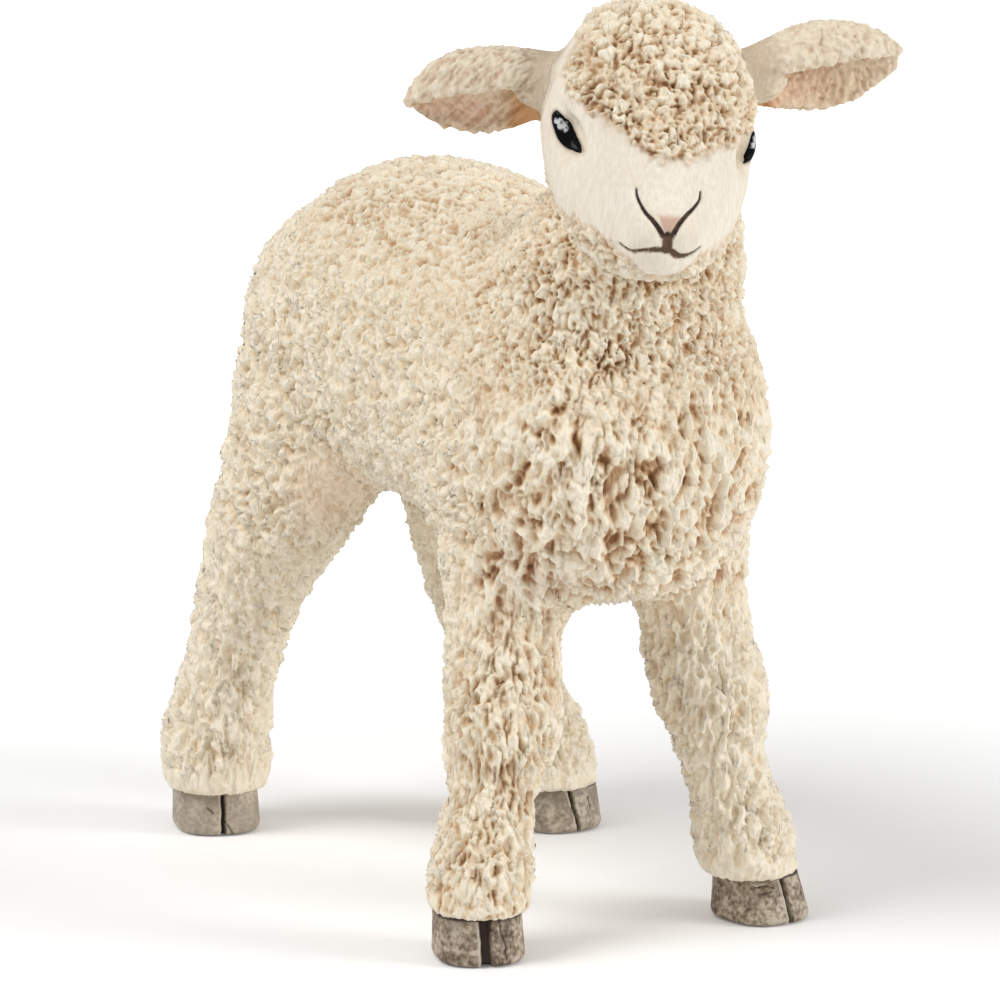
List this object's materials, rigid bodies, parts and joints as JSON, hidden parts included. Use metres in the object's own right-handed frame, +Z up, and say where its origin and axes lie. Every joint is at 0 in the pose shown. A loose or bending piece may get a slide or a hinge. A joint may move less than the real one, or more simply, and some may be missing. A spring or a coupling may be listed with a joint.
{
  "type": "toy lamb",
  "caption": "Standing woolly lamb figure with turned head, drooping ears and cloven hooves, in painted soft plastic.",
  "frame": {"origin": "on the ground, under the middle of the figure's bounding box", "axes": "+X towards the lamb's left side, -Y the way the chest and feet point, +Z up"},
  "size_m": [0.0238, 0.0442, 0.048],
  "materials": {
    "fleece": "matte painted soft plastic, cream curls with a tan wash in the hollows",
    "skin": "matte painted soft plastic, off-white with fine hair strokes",
    "hoof": "satin painted soft plastic, grey-brown with a dark cleft",
    "eye": "gloss black paint over a raised eye"
  },
  "bodies": {
    "root": {"torso": "fleece", "tail": "fleece", "front_left_leg": "fleece", "front_right_leg": "fleece", "hind_left_leg": "fleece", "hind_right_leg": "fleece", "head": "skin", "left_ear": "skin", "right_ear": "skin", "left_eye": "eye", "right_eye": "eye", "front_left_hoof": "hoof", "front_right_hoof": "hoof", "hind_left_hoof": "hoof", "hind_right_hoof": "hoof"}
  },
  "joints": []
}
